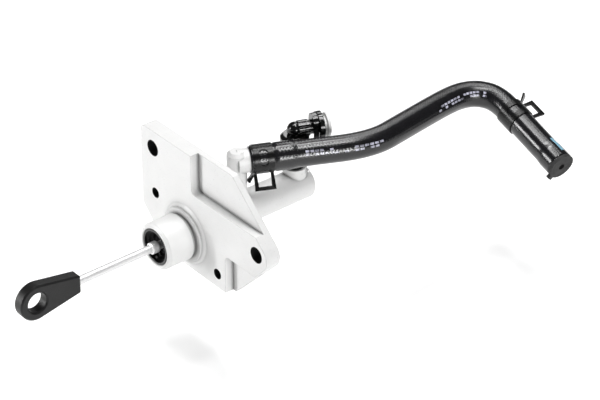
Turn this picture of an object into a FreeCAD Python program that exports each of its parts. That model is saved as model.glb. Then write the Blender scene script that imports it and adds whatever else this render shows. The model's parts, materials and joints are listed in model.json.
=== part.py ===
# Clutch master cylinder with a push rod, a reservoir hose and a plastic outlet elbow.
#
# Millimetres, +Z up. The origin lies on the cylinder's axis, in the front face of the mounting
# flange. +X runs from the push rod's side through the flange and along the barrel.
import FreeCAD
import Part
import math
import os
import re
import Sketcher
from FreeCAD import Placement, Rotation, Vector

doc = FreeCAD.newDocument("clutch_master_cylinder")
sheet = doc.addObject("Spreadsheet::Sheet", "sizes")

# Driving sizes. Lengths along the axis are counted from the flange's front face.
SIZES = {
    # main bore and barrel
    "bore_diameter": 15.87,
    "end_room": 15.8,
    "barrel_diameter": 21.5,
    "end_wall": 5.0,
    "barrel_root_diameter": 28.0,
    "barrel_root_length": 7.0,
    "end_chamfer": 2.0,
    # nose
    "nose_length": 24.5,
    "nose_diameter": 31.0,
    "nose_chamfer": 1.6,
    "nose_groove_diameter": 29.0,
    "nose_groove_width": 2.5,
    "nose_collar_diameter": 36.6,
    "nose_collar_length": 3.5,
    "nose_root_diameter": 41.0,
    "nose_root_length": 1.6,
    "mouth_diameter": 23.8,
    "mouth_chamfer": 0.7,
    "mouth_depth": 13.5,
    "bore_lead": 0.7,
    # flange, seen along the axis
    "flange_thickness": 11.0,
    "ear_thickness": 5.0,
    "flange_top": 59.0,
    "flange_side": 44.6,
    "flange_bottom": 24.2,
    "slope_top": 39.3,
    "corner_out": 83.6,
    "corner_height": 19.1,
    "slope_bottom": 42.0,
    "cut_corner": 25.6,
    "far_corner_radius": 9.5,
    "edge_corner_radius": 4.0,
    "upper_pocket_side": 6.2,
    "upper_pocket_bottom": 32.0,
    "lower_pocket_side": 39.0,
    "lower_pocket_top": 3.0,
    "pocket_radius": 3.5,
    "cast_edge": 0.8,
    # bolt holes
    "bolt_hole_diameter": 10.7,
    "bolt_upper_side": 32.4,
    "bolt_upper_height": 46.5,
    "bolt_lower_side": 69.6,
    "bolt_lower_height": 19.8,
    "stud_hole_diameter": 6.9,
    "stud_circle": 68.3,
    "stud_angle": 24.8,
    # inlet and outlet bosses
    "port_angle": 25.6,
    "inlet_along": 40.5,
    "inlet_height": 36.2,
    "inlet_boss_diameter": 12.8,
    "inlet_boss_cap": 7.6,
    "inlet_spigot_diameter": 15.6,
    "inlet_spigot_length": 7.6,
    "inlet_socket_diameter": 10.6,
    "inlet_socket_depth": 8.6,
    "inlet_well_diameter": 9.4,
    "well_floor": 2.0,
    "feed_port_diameter": 1.8,
    "feed_port_along": 37.0,
    "bleed_port_diameter": 0.8,
    "bleed_port_along": 44.6,
    "web_thickness": 5.0,
    "outlet_from_end": 5.0,
    "outlet_boss_diameter": 15.6,
    "outlet_boss_top": 15.0,
    "outlet_socket_diameter": 10.0,
    "outlet_socket_floor": 9.0,
    "outlet_port_diameter": 3.6,
    # push rod and eye
    "rod_diameter": 5.4,
    "ball_diameter": 8.8,
    "ball_along": -4.0,
    "neck_diameter": 4.4,
    "neck_end": -11.6,
    "collar_diameter": 7.6,
    "collar_start": -28.0,
    "collar_length": 5.5,
    "eye_reach": 110.0,
    "eye_hole_diameter": 13.2,
    "eye_diameter": 24.0,
    "eye_thickness": 8.0,
    "eye_shank_height": 12.5,
    "eye_shank_reach": 31.5,
    "rod_grip": 15.0,
    "eye_edge": 1.0,
    # pieces in the nose's mouth
    "stop_washer_thickness": 2.0,
    "rod_window_diameter": 11.0,
    "snap_ring_thickness": 1.2,
    "snap_ring_width": 2.3,
    "snap_groove_depth": 0.8,
    "snap_ring_gap": 7.0,
    "side_clearance": 0.05,
    "guide_set_back": 0.2,
    "guide_step": 2.3,
    "guide_wall": 1.3,
    "guide_window_diameter": 12.0,
    # piston group
    "piston_clearance": 0.04,
    "seal_clearance": 0.03,
    "piston_stroke": 30.0,
    "ball_clearance": 0.05,
    "clip_diameter": 12.0,
    "clip_length": 4.0,
    "clip_window_diameter": 6.2,
    "clip_set_back": 2.4,
    "rear_seal_start": 0.2,
    "rear_seal_width": 4.6,
    "rear_seal_core_diameter": 10.4,
    "land_width": 2.0,
    "waist_diameter": 9.2,
    "front_land_start": 37.4,
    "cup_washer_thickness": 0.5,
    "cup_length": 4.2,
    "stub_diameter": 6.0,
    "stub_end": 46.2,
    "cup_back": 1.7,
    "lip_thickness": 1.1,
    "spring_seat_thickness": 0.8,
    "spring_seat_diameter": 12.4,
    "spring_seat_collar": 1.8,
    "spring_mean_diameter": 10.2,
    "spring_wire_diameter": 1.3,
    "spring_turns": 7.0,
    "spring_runs": 14.0,
    # inlet nipple and hose
    "nipple_bore_diameter": 6.4,
    "nipple_reach": 24.0,
    "nipple_lead": 1.0,
    "seal_wire_diameter": 1.2,
    "inlet_seal_at": 3.4,
    "hose_diameter": 17.2,
    "hose_bore_diameter": 10.0,
    "near_swell": 0.6,
    "near_swell_start": 15.4,
    "near_swell_end": 26.0,
    "end_swell": 0.4,
    "end_swell_length": 9.0,
    "swell_taper": 5.0,
    "swell_edge": 0.12,
    # hose clamps
    "clamp_width": 12.8,
    "clamp_thickness": 0.8,
    "clamp_clearance": 0.05,
    "near_clamp_at": 1.6,
    "far_clamp_from_end": 47.2,
    "clamp_slot_width": 5.2,
    "clamp_slot_turn": 68.0,
    "near_clamp_roll": -8.0,
    "near_slot_turn": 64.0,
    "far_clamp_roll": 114.0,
    "far_slot_turn": 264.0,
    "window_tang_height": 10.4,
    "window_bar": 2.0,
    "narrow_tang_width": 4.0,
    "narrow_tang_length": 6.5,
    "narrow_tang_flare": 56.0,
    "window_tang_turn": 154.0,
    # hose plug
    "plug_face_diameter": 18.0,
    "plug_face_thickness": 2.4,
    "plug_neck_length": 12.0,
    "plug_dimple_diameter": 4.4,
    "plug_dimple_depth": 5.0,
    "plug_tab_reach": 11.2,
    "plug_tab_width": 3.6,
    "plug_roll": 45.0,
    # outlet elbow, clip, pin and cap
    "elbow_height": 41.5,
    "elbow_angle": 21.5,
    "elbow_foot_diameter": 9.4,
    "elbow_neck_diameter": 12.0,
    "elbow_shoulder_diameter": 18.6,
    "elbow_shoulder_bottom": 27.5,
    "elbow_shoulder_top": 38.6,
    "elbow_knee_diameter": 10.2,
    "elbow_arm_diameter": 9.4,
    "elbow_bore_diameter": 6.8,
    "elbow_arm_length": 14.7,
    "elbow_mouth_diameter": 18.8,
    "elbow_mouth_thickness": 3.0,
    "rib_height": 0.7,
    "rib_width": 1.3,
    "rib_count": 8.0,
    "rib_start": 2.0,
    "rib_length": 7.2,
    "elbow_seal_at": 10.1,
    "elbow_pin_height": 12.9,
    "elbow_pin_diameter": 2.0,
    "elbow_pin_length": 17.0,
    "pin_groove_depth": 0.9,
    "outlet_clip_start": 11.0,
    "outlet_clip_thickness": 3.4,
    "outlet_clip_height": 8.8,
    "outlet_clip_half_width": 5.8,
    "outlet_clip_round": 4.6,
    "outlet_clip_leg": 6.5,
    "cap_stub_depth": 7.0,
    "cap_neck_diameter": 11.0,
    "cap_neck_length": 2.6,
    "cap_face_diameter": 15.4,
    "cap_face_thickness": 1.8,
}

for row, (alias, value) in enumerate(SIZES.items(), start=1):
    sheet.set(f"A{row}", alias)
    sheet.set(f"B{row}", str(value))
    sheet.setAlias(f"B{row}", alias)
doc.recompute()

# The bore ends where the piston's stub and the closed spring still have room at full stroke.
BORE_END = "(stub_end + piston_stroke + end_room)"
BARREL_END = f"({BORE_END} + end_wall)"
OUTLET_ALONG = f"({BORE_END} - outlet_from_end)"
# Where the mouth's shoulder stops the stop washer.
MOUTH_SEAT = "(mouth_depth - nose_length)"

# The hose's route: where it leaves the inlet, along the engine bay, round its moulded bend and
# down to its free end.
HOSE_ROUTE = [
    (47.6, -3.4, 36.2),
    (79.3, -18.6, 36.2),
    (118.0, -38.0, 36.2),
    (149.7, -33.8, 36.2),
    (172.6, -30.8, 36.2),
    (188.4, -29.0, 36.2),
    (201.8, -28.8, 36.2),
    (213.2, -33.8, 36.0),
    (220.4, -44.6, 34.2),
    (219.6, -65.0, 27.8),
    (218.2, -86.2, 21.5),
    (216.6, -107.0, 15.5),
]


def bound(text):
    """The expression with every size name pointing at the sheet."""
    return re.sub(r"[a-z_]+", lambda m: f"sizes.{m.group()}" if m.group() in SIZES else m.group(), text)


def size(text):
    """The number that an expression of size names gives now."""
    return float(sheet.evalExpression(bound(text)))


def new_body(label):
    body = doc.addObject("PartDesign::Body", label)
    body.Label = label
    return body


def plane(body, role):
    return next(p for p in body.Origin.OriginFeatures if p.Role == role)


def new_sketch(body, role, offset=("0", "0", "0"), turn="0"):
    """A sketch on one of the body's own planes, moved by offset and turned about its normal."""
    sketch = body.newObject("Sketcher::SketchObject", f"{body.Label}_sketch")
    sketch.AttachmentSupport = [(plane(body, role), "")]
    sketch.MapMode = "FlatFace"
    sketch.AttachmentOffset = Placement(Vector(0, 0, 0), Rotation(Vector(0, 0, 1), size(turn)))
    for axis, text in zip("xyz", offset):
        sketch.setExpression(f"AttachmentOffset.Base.{axis}", bound(text))
    sketch.setExpression("AttachmentOffset.Rotation.Angle", bound(turn))
    return sketch


def fix_point(sketch, line, end, x, y):
    """Holds one end of a line at the place that two expressions give."""
    for kind, text in (("DistanceX", x), ("DistanceY", y)):
        index = sketch.addConstraint(Sketcher.Constraint(kind, -1, 1, line, end, size(text)))
        sketch.setExpression(f"Constraints[{index}]", bound(text))


def outline(sketch, corners):
    """A closed outline through corners of expressions. A corner with a third entry starts an arc,
    whose radius that is, about a centre on the sketch's horizontal axis."""
    places = [(size(c[0]), size(c[1])) for c in corners]
    count = len(corners)
    first = sketch.GeometryCount
    for i, corner in enumerate(corners):
        start = Vector(*places[i], 0)
        end = Vector(*places[(i + 1) % count], 0)
        if len(corner) == 2:
            sketch.addGeometry(Part.LineSegment(start, end))
            continue
        radius = size(corner[2])
        centre = Vector(size(corner[3]), 0, 0)
        middle = (start - centre) + (end - centre)
        middle = centre + middle.normalize() * radius
        sketch.addGeometry(Part.Arc(start, middle, end))
    ends = [forward_ends(sketch.Geometry[first + i], places[i]) for i in range(count)]
    for i in range(count):
        following = (i + 1) % count
        sketch.addConstraint(
            Sketcher.Constraint("Coincident", first + i, ends[i][1], first + following, ends[following][0])
        )
        fix_point(sketch, first + i, ends[i][0], corners[i][0], corners[i][1])
    for i, corner in enumerate(corners):
        if len(corner) > 2:
            index = sketch.addConstraint(Sketcher.Constraint("Radius", first + i, size(corner[2])))
            sketch.setExpression(f"Constraints[{index}]", bound(corner[2]))


def forward_ends(edge, place):
    """Which of an edge's ends, 1 or 2, lies at the place, and then the other."""
    at_start = (edge.StartPoint - Vector(*place, 0)).Length < 1e-6
    return (1, 2) if at_start else (2, 1)


def circle(sketch, x, y, radius):
    index = sketch.addGeometry(Part.Circle(Vector(size(x), size(y), 0), Vector(0, 0, 1), size(radius)))
    fix_point(sketch, index, 3, x, y)
    constraint = sketch.addConstraint(Sketcher.Constraint("Radius", index, size(radius)))
    sketch.setExpression(f"Constraints[{constraint}]", bound(radius))


def revolve(body, sketch, axis="H_Axis", cut=False):
    """A full turn of the sketch about one of its axes, added or cut away."""
    kind = "PartDesign::Groove" if cut else "PartDesign::Revolution"
    feature = body.newObject(kind, f"{body.Label}_turn")
    feature.Profile = sketch
    feature.ReferenceAxis = (sketch, [axis])
    feature.Angle = 360
    return settle(body, feature)


def pad(body, sketch, length, reverse=False, both_ways=False):
    feature = body.newObject("PartDesign::Pad", f"{body.Label}_pad")
    feature.Profile = sketch
    feature.Reversed = reverse
    feature.Midplane = both_ways
    feature.setExpression("Length", bound(length))
    return settle(body, feature)


def pocket(body, sketch, length, reverse=False, both_ways=False):
    feature = body.newObject("PartDesign::Pocket", f"{body.Label}_pocket")
    feature.Profile = sketch
    feature.Reversed = reverse
    feature.Midplane = both_ways
    feature.setExpression("Length", bound(length))
    return settle(body, feature)


def settle(body, feature):
    """Recomputes and checks that the feature changed the body's volume."""
    doc.recompute()
    if "Invalid" in feature.State or "Error" in feature.State:
        raise RuntimeError(f"{feature.Name} failed: {feature.State}")
    before = VOLUMES.get(body.Name, 0.0)
    VOLUMES[body.Name] = feature.Shape.Volume
    if abs(VOLUMES[body.Name] - before) < 1e-4:
        raise RuntimeError(f"{feature.Name} changed nothing")
    return feature


VOLUMES = {}


def dress(body, kind, edges, radius):
    """A fillet or chamfer on the chosen edges of the body's last feature."""
    tip = body.Tip
    names = [f"Edge{i + 1}" for i, edge in enumerate(tip.Shape.Edges) if edges(edge)]
    feature = body.newObject(f"PartDesign::{kind}", f"{body.Label}_{kind.lower()}")
    feature.Base = (tip, names)
    feature.setExpression("Radius" if kind == "Fillet" else "Size", bound(radius))
    return settle(body, feature)


def lies_along(direction, keep):
    """Chooses straight edges along a direction whose middle passes a test."""

    def chosen(edge):
        if not isinstance(edge.Curve, Part.Line):
            return False
        a, b = edge.Vertexes[0].Point, edge.Vertexes[-1].Point
        along = (b - a).normalize()
        return abs(abs(along.dot(direction)) - 1) < 1e-6 and keep((a + b) * 0.5)

    return chosen


def port_frame(body, along, height, angle):
    """Stands a body on a port's axis: its own X axis runs out of the port."""
    body.Placement = Placement(Vector(0, 0, 0), Rotation(Vector(0, 0, 1), -size(angle)))
    body.setExpression("Placement.Base.x", bound(along))
    body.setExpression("Placement.Base.z", bound(height))
    body.setExpression("Placement.Rotation.Yaw", bound(f"-{angle}"))
    return body


def turned(label, corners):
    """A body turned about the cylinder's axis from an outline of (along, radius) corners."""
    body = new_body(label)
    sketch = new_sketch(body, "XZ_Plane")
    outline(sketch, corners)
    revolve(body, sketch)
    return body


def build_cylinder():
    """The aluminium casting: flange, nose, barrel, bosses, bores and bolt holes."""
    body = new_body("cylinder_body")
    add_flange(body)
    add_nose_and_barrel(body)
    add_bosses(body)
    soften_flange(body)
    cut_ear_pockets(body)
    cut_bores(body)
    cut_ports(body)
    cut_bolt_holes(body)
    return body


def add_flange(body):
    plate = new_sketch(body, "YZ_Plane")
    outline(
        plate,
        [
            ("flange_side", "flange_top"),
            ("flange_side", "cut_corner - flange_bottom"),
            ("flange_side - cut_corner", "-flange_bottom"),
            ("-slope_bottom", "-flange_bottom"),
            ("-corner_out", "corner_height"),
            ("-slope_top", "flange_top"),
        ],
    )
    pad(body, plate, "flange_thickness")
    along = Vector(1, 0, 0)
    far = -size("corner_out")
    dress(body, "Fillet", lies_along(along, lambda p: abs(p.y - far) < 1e-3), "far_corner_radius")
    dress(
        body,
        "Fillet",
        lies_along(along, lambda p: p.y > far * 0.9),
        "edge_corner_radius",
    )


def add_nose_and_barrel(body):
    profile = new_sketch(body, "XZ_Plane")
    groove_start = "-nose_collar_length - nose_groove_width"
    outline(
        profile,
        [
            ("-nose_length", "0"),
            ("-nose_length", "nose_diameter / 2 - nose_chamfer"),
            ("nose_chamfer - nose_length", "nose_diameter / 2"),
            (groove_start, "nose_diameter / 2"),
            (groove_start, "nose_groove_diameter / 2"),
            ("-nose_collar_length", "nose_groove_diameter / 2"),
            ("-nose_collar_length", "nose_collar_diameter / 2"),
            ("-nose_root_length", "nose_collar_diameter / 2"),
            ("0", "nose_root_diameter / 2"),
            ("flange_thickness", "nose_root_diameter / 2"),
            ("flange_thickness", "barrel_root_diameter / 2"),
            ("flange_thickness + barrel_root_length", "barrel_diameter / 2"),
            (f"{BARREL_END} - end_chamfer", "barrel_diameter / 2"),
            (BARREL_END, "barrel_diameter / 2 - end_chamfer"),
            (BARREL_END, "0"),
        ],
    )
    revolve(body, profile)


def add_bosses(body):
    """The inlet boss with its slanting spigot and web, and the outlet boss."""
    inlet = new_sketch(body, "XY_Plane")
    circle(inlet, "inlet_along", "0", "inlet_boss_diameter / 2")
    pad(body, inlet, "inlet_height + inlet_boss_cap")
    top = size("inlet_height + inlet_boss_cap")
    dress(body, "Chamfer", lambda e: all(abs(v.Z - top) < 1e-4 for v in e.Vertexes), "end_chamfer")
    spigot = new_sketch(body, "XY_Plane", ("inlet_along", "0", "inlet_height"), "-port_angle")
    outline(
        spigot,
        [
            ("0", "0"),
            ("0", "inlet_spigot_diameter / 2"),
            ("inlet_spigot_length", "inlet_spigot_diameter / 2"),
            ("inlet_spigot_length", "0"),
        ],
    )
    revolve(body, spigot)
    web = new_sketch(body, "XZ_Plane")
    outline(
        web,
        [
            ("flange_thickness / 2", "0"),
            ("flange_thickness / 2", "inlet_height"),
            ("flange_thickness", "inlet_height"),
            ("inlet_along", "inlet_height - inlet_spigot_diameter / 2"),
            ("inlet_along", "0"),
        ],
    )
    pad(body, web, "web_thickness", both_ways=True)
    outlet = new_sketch(body, "XY_Plane")
    circle(outlet, OUTLET_ALONG, "0", "outlet_boss_diameter / 2")
    pad(body, outlet, "outlet_boss_top")


def soften_flange(body):
    """Breaks the long cast edges of the flange's back face."""
    thick = size("flange_thickness")
    reach = size("barrel_root_diameter")
    shortest = size("edge_corner_radius")

    def rim(edge):
        middle = edge.valueAt((edge.FirstParameter + edge.LastParameter) / 2)
        at_back = all(abs(v.X - thick) < 1e-4 for v in edge.Vertexes) and abs(middle.x - thick) < 1e-4
        return at_back and math.hypot(middle.y, middle.z) > reach * 0.75 and edge.Length > shortest

    dress(body, "Chamfer", rim, "cast_edge")


def cut_ear_pockets(body):
    """Two pockets in the front face leave thin ears at the flange's upper and lower corners."""
    far = "2 * corner_out"
    upper = new_sketch(body, "YZ_Plane")
    outline(
        upper,
        [
            ("-upper_pocket_side", "upper_pocket_bottom"),
            ("-upper_pocket_side", far),
            ("-" + far, far),
            ("-" + far, "upper_pocket_bottom"),
        ],
    )
    pocket(body, upper, "flange_thickness - ear_thickness", reverse=True)
    lower = new_sketch(body, "YZ_Plane")
    outline(
        lower,
        [
            ("-lower_pocket_side", "lower_pocket_top"),
            ("-lower_pocket_side", "-" + far),
            ("-" + far, "-" + far),
            ("-" + far, "lower_pocket_top"),
        ],
    )
    pocket(body, lower, "flange_thickness - ear_thickness", reverse=True)
    corners = [
        Vector(0, -size("upper_pocket_side"), size("upper_pocket_bottom")),
        Vector(0, -size("lower_pocket_side"), size("lower_pocket_top")),
    ]

    def inner(point):
        return any(math.hypot(point.y - c.y, point.z - c.z) < 1e-3 for c in corners)

    dress(body, "Fillet", lies_along(Vector(1, 0, 0), inner), "pocket_radius")


def cut_bores(body):
    """The main bore, the nose's mouth and the snap ring's groove."""
    bores = new_sketch(body, "XZ_Plane")
    groove_end = f"{MOUTH_SEAT} - stop_washer_thickness - side_clearance"
    groove_start = f"{groove_end} - snap_ring_thickness - side_clearance"
    outline(
        bores,
        [
            ("-nose_length", "0"),
            ("-nose_length", "mouth_diameter / 2 + mouth_chamfer"),
            ("mouth_chamfer - nose_length", "mouth_diameter / 2"),
            (groove_start, "mouth_diameter / 2"),
            (groove_start, "mouth_diameter / 2 + snap_groove_depth"),
            (groove_end, "mouth_diameter / 2 + snap_groove_depth"),
            (groove_end, "mouth_diameter / 2"),
            (MOUTH_SEAT, "mouth_diameter / 2"),
            (MOUTH_SEAT, "bore_diameter / 2 + bore_lead"),
            (f"{MOUTH_SEAT} + bore_lead", "bore_diameter / 2"),
            (BORE_END, "bore_diameter / 2"),
            (BORE_END, "0"),
        ],
    )
    revolve(body, bores, cut=True)


def cut_ports(body):
    """The inlet's socket, well and ports, and the outlet's socket, port and pin hole."""
    socket = new_sketch(body, "XY_Plane", ("inlet_along", "0", "inlet_height"), "-port_angle")
    outline(
        socket,
        [
            ("inlet_spigot_length - inlet_socket_depth", "0"),
            ("inlet_spigot_length - inlet_socket_depth", "inlet_socket_diameter / 2"),
            ("inlet_spigot_length", "inlet_socket_diameter / 2"),
            ("inlet_spigot_length", "0"),
        ],
    )
    revolve(body, socket, cut=True)
    drill(body, "inlet_along", "inlet_well_diameter", "bore_diameter / 2 + well_floor", "inlet_height")
    drill(body, "feed_port_along", "feed_port_diameter", "0", "inlet_height - inlet_socket_diameter / 2")
    drill(body, "bleed_port_along", "bleed_port_diameter", "0", "inlet_height / 2")
    drill(body, OUTLET_ALONG, "outlet_socket_diameter", "outlet_socket_floor", "outlet_boss_top + 1")
    drill(body, OUTLET_ALONG, "outlet_port_diameter", "0", "outlet_boss_top")
    pin = new_sketch(body, "XZ_Plane")
    circle(pin, pin_along(), "elbow_pin_height", "elbow_pin_diameter / 2")
    pocket(body, pin, "4 * outlet_boss_diameter", both_ways=True)


def drill(body, along, diameter, bottom, top):
    """An upright hole on the cylinder's middle plane, from bottom to top."""
    mouth = new_sketch(body, "XY_Plane", ("0", "0", top))
    circle(mouth, along, "0", f"{diameter} / 2")
    pocket(body, mouth, f"{top} - ({bottom})")


def pin_along():
    """Where the elbow's cross pin runs: it lies in the groove of the elbow's foot."""
    return f"{OUTLET_ALONG} + elbow_foot_diameter / 2 - pin_groove_depth + elbow_pin_diameter / 2"


def cut_bolt_holes(body):
    holes = new_sketch(body, "YZ_Plane")
    circle(holes, "bolt_upper_side", "bolt_upper_height", "bolt_hole_diameter / 2")
    circle(holes, "-bolt_lower_side", "bolt_lower_height", "bolt_hole_diameter / 2")
    side = "stud_circle / 2 * cos(stud_angle)"
    height = "stud_circle / 2 * sin(stud_angle)"
    circle(holes, side, height, "stud_hole_diameter / 2")
    circle(holes, f"-{side}", f"-{height}", "stud_hole_diameter / 2")
    pocket(body, holes, "flange_thickness", reverse=True)


def build_push_rod():
    """The rod, its collar and its ball, turned about the cylinder's axis."""
    tail = "ball_along - eye_reach + eye_shank_reach - rod_grip"
    collar_end = "collar_start + collar_length"
    edge = "(collar_diameter - rod_diameter) / 2"
    meets = "ball_along - sqrt(ball_diameter ^ 2 - neck_diameter ^ 2) / 2"
    return turned(
        "push_rod",
        [
            (tail, "0"),
            (tail, "rod_diameter / 2"),
            ("collar_start", "rod_diameter / 2"),
            (f"collar_start + {edge} / 2", "collar_diameter / 2"),
            (f"{collar_end} - {edge} / 2", "collar_diameter / 2"),
            (collar_end, "rod_diameter / 2"),
            ("neck_end", "rod_diameter / 2"),
            ("neck_end + rod_diameter / 2 - neck_diameter / 2", "neck_diameter / 2"),
            (meets, "neck_diameter / 2", "ball_diameter / 2", "ball_along"),
            ("ball_along + ball_diameter / 2", "0"),
        ],
    )


def build_rod_eye():
    """The moulded eye: a round end with a cross hole, tapering to the shank that grips the rod."""
    body = new_body("rod_eye")
    centre = "ball_along - eye_reach"
    lean = "asin((eye_diameter / 2 - eye_shank_height / 2) / eye_shank_reach)"
    side = new_sketch(body, "XZ_Plane")
    outline(
        side,
        [
            (f"{centre} + eye_diameter / 2 * sin({lean})", f"eye_diameter / 2 * cos({lean})"),
            (f"{centre} + eye_shank_reach", "eye_shank_height / 2"),
            (f"{centre} + eye_shank_reach", "-eye_shank_height / 2"),
            (f"{centre} + eye_diameter / 2 * sin({lean})", f"-eye_diameter / 2 * cos({lean})"),
            (centre, "0"),
        ],
    )
    pad(body, side, "eye_thickness", both_ways=True)
    end = new_sketch(body, "XZ_Plane")
    circle(end, centre, "0", "eye_diameter / 2")
    pad(body, end, "eye_thickness", both_ways=True)
    hole = new_sketch(body, "XZ_Plane")
    circle(hole, centre, "0", "eye_hole_diameter / 2")
    pocket(body, hole, "2 * eye_thickness", both_ways=True)
    mouth = size("eye_hole_diameter") / 2

    def hole_edge(edge):
        curve = edge.Curve
        return isinstance(curve, Part.Circle) and abs(curve.Radius - mouth) < 1e-4

    dress(body, "Chamfer", hole_edge, "eye_edge")
    half = size("eye_thickness") / 2
    middle = Vector(size(centre), 0, 0)
    clear = mouth + 1.5 * size("eye_edge")

    def rim(edge):
        at_face = all(abs(abs(v.Y) - half) < 1e-4 for v in edge.Vertexes)
        place = edge.valueAt((edge.FirstParameter + edge.LastParameter) / 2)
        return at_face and math.hypot(place.x - middle.x, place.z) > clear

    dress(body, "Chamfer", rim, "eye_edge")
    grip = new_sketch(body, "XZ_Plane")
    outline(
        grip,
        [
            (f"{centre} + eye_shank_reach - rod_grip", "0"),
            (f"{centre} + eye_shank_reach - rod_grip", "rod_diameter / 2"),
            (f"{centre} + eye_shank_reach", "rod_diameter / 2"),
            (f"{centre} + eye_shank_reach", "0"),
        ],
    )
    revolve(body, grip, cut=True)
    return body


def build_stop_washer():
    return turned(
        "stop_washer",
        [
            (f"{MOUTH_SEAT} - stop_washer_thickness", "rod_window_diameter / 2"),
            (f"{MOUTH_SEAT} - stop_washer_thickness", "mouth_diameter / 2 - side_clearance"),
            (MOUTH_SEAT, "mouth_diameter / 2 - side_clearance"),
            (MOUTH_SEAT, "rod_window_diameter / 2"),
        ],
    )


def build_snap_ring():
    """A split ring in the mouth's groove."""
    start = f"{MOUTH_SEAT} - stop_washer_thickness - side_clearance - snap_ring_thickness"
    outer = "mouth_diameter / 2 + snap_groove_depth - side_clearance"
    body = turned(
        "snap_ring",
        [
            (start, f"{outer} - snap_ring_width"),
            (start, outer),
            (f"{start} + snap_ring_thickness", outer),
            (f"{start} + snap_ring_thickness", f"{outer} - snap_ring_width"),
        ],
    )
    gap = new_sketch(body, "XZ_Plane")
    outline(
        gap,
        [
            (f"{start} - 1", "0"),
            (f"{start} - 1", "-mouth_diameter"),
            (f"{start} + snap_ring_thickness + 1", "-mouth_diameter"),
            (f"{start} + snap_ring_thickness + 1", "0"),
        ],
    )
    pocket(body, gap, "snap_ring_gap", both_ways=True)
    return body


def build_rod_guide():
    """The black stepped funnel in the nose's mouth."""
    back = f"{MOUTH_SEAT} - stop_washer_thickness - 2 * side_clearance - snap_ring_thickness"
    front = "guide_set_back - nose_length"
    outer = "mouth_diameter / 2 - side_clearance"
    corners = [(back, "guide_window_diameter / 2"), (back, outer), (front, outer)]
    for step in range(3):
        radius = f"{outer} - {step + 1} * guide_wall"
        corners.append((f"{front} + {step} * guide_step", radius))
        corners.append((f"{front} + {step + 1} * guide_step", radius))
    corners.append((f"{front} + 3 * guide_step", "guide_window_diameter / 2"))
    return turned("rod_guide", corners)


def build_piston():
    """The piston: ball socket with its conical seat, rear seal groove, feed waist, land and stub."""
    tail = f"{MOUTH_SEAT} + side_clearance"
    outer = "bore_diameter / 2 - piston_clearance"
    socket = "(ball_diameter / 2 + ball_clearance)"
    seal_end = "rear_seal_start + rear_seal_width"
    shelf = "ball_along - clip_set_back"
    return turned(
        "piston",
        [
            (tail, "clip_diameter / 2 + ball_clearance"),
            (tail, outer),
            ("rear_seal_start", outer),
            ("rear_seal_start", "rear_seal_core_diameter / 2"),
            (seal_end, "rear_seal_core_diameter / 2"),
            (seal_end, outer),
            (f"{seal_end} + land_width", outer),
            (f"{seal_end} + land_width", "waist_diameter / 2"),
            ("front_land_start", "waist_diameter / 2"),
            ("front_land_start", outer),
            ("front_land_start + land_width", outer),
            ("front_land_start + land_width", "stub_diameter / 2"),
            ("stub_end", "stub_diameter / 2"),
            ("stub_end", "0"),
            (f"ball_along + {socket} * sqrt(2)", "0"),
            (f"ball_along + {socket} * (sqrt(2) - 1)", socket),
            (shelf, socket),
            (shelf, "clip_diameter / 2 + ball_clearance"),
        ],
    )


def build_ball_clip():
    """The plastic ring that keeps the rod's ball in the piston."""
    front = "ball_along - clip_set_back"
    cradle = "(ball_diameter / 2 + 2 * ball_clearance)"
    return turned(
        "ball_clip",
        [
            (f"{front} - clip_length", "clip_window_diameter / 2"),
            (f"{front} - clip_length", "clip_diameter / 2"),
            (front, "clip_diameter / 2"),
            (front, f"sqrt({cradle} ^ 2 - clip_set_back ^ 2)", cradle, "ball_along"),
            (f"ball_along - sqrt({cradle} ^ 2 - (clip_window_diameter / 2) ^ 2)", "clip_window_diameter / 2"),
        ],
    )


def cup(label, start, inner, length, lip_out):
    """A rubber cup seal that opens towards +X, with an inner and an outer lip."""
    return turned(
        label,
        [
            (start, inner),
            (start, f"{lip_out} - 0.3"),
            (f"{start} + {length}", lip_out),
            (f"{start} + {length}", f"{lip_out} - lip_thickness"),
            (f"{start} + cup_back", f"{lip_out} - lip_thickness"),
            (f"{start} + cup_back", f"{inner} + lip_thickness"),
            (f"{start} + {length}", f"{inner} + lip_thickness"),
            (f"{start} + {length}", inner),
        ],
    )


def cup_start():
    return "front_land_start + land_width + cup_washer_thickness"


def build_seals():
    outer = "bore_diameter / 2 - seal_clearance"
    rear_inner = "rear_seal_core_diameter / 2"
    rear = turned(
        "secondary_cup",
        [
            ("rear_seal_start + seal_clearance", rear_inner),
            ("rear_seal_start + seal_clearance", f"{outer} - 0.3"),
            ("rear_seal_start + rear_seal_width - seal_clearance", outer),
            ("rear_seal_start + rear_seal_width - seal_clearance", f"{outer} - lip_thickness"),
            ("rear_seal_start + cup_back", f"{outer} - lip_thickness"),
            ("rear_seal_start + cup_back", rear_inner),
        ],
    )
    front = cup("primary_cup", cup_start(), "stub_diameter / 2", "cup_length", outer)
    washer = turned(
        "cup_washer",
        [
            ("front_land_start + land_width", "stub_diameter / 2"),
            ("front_land_start + land_width", "bore_diameter / 2 - 10 * piston_clearance"),
            (cup_start(), "bore_diameter / 2 - 10 * piston_clearance"),
            (cup_start(), "stub_diameter / 2"),
        ],
    )
    return [rear, front, washer]


def spring_start():
    return f"{cup_start()} + cup_length + spring_seat_thickness"


def build_spring_seat():
    start = f"{cup_start()} + cup_length"
    return turned(
        "spring_seat",
        [
            (start, "stub_diameter / 2"),
            (start, "spring_seat_diameter / 2"),
            (f"{start} + spring_seat_thickness", "spring_seat_diameter / 2"),
            (f"{start} + spring_seat_thickness", "stub_diameter / 2 + spring_seat_thickness"),
            (f"{start} + spring_seat_collar", "stub_diameter / 2 + spring_seat_thickness"),
            (f"{start} + spring_seat_collar", "stub_diameter / 2"),
        ],
    )


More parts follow.
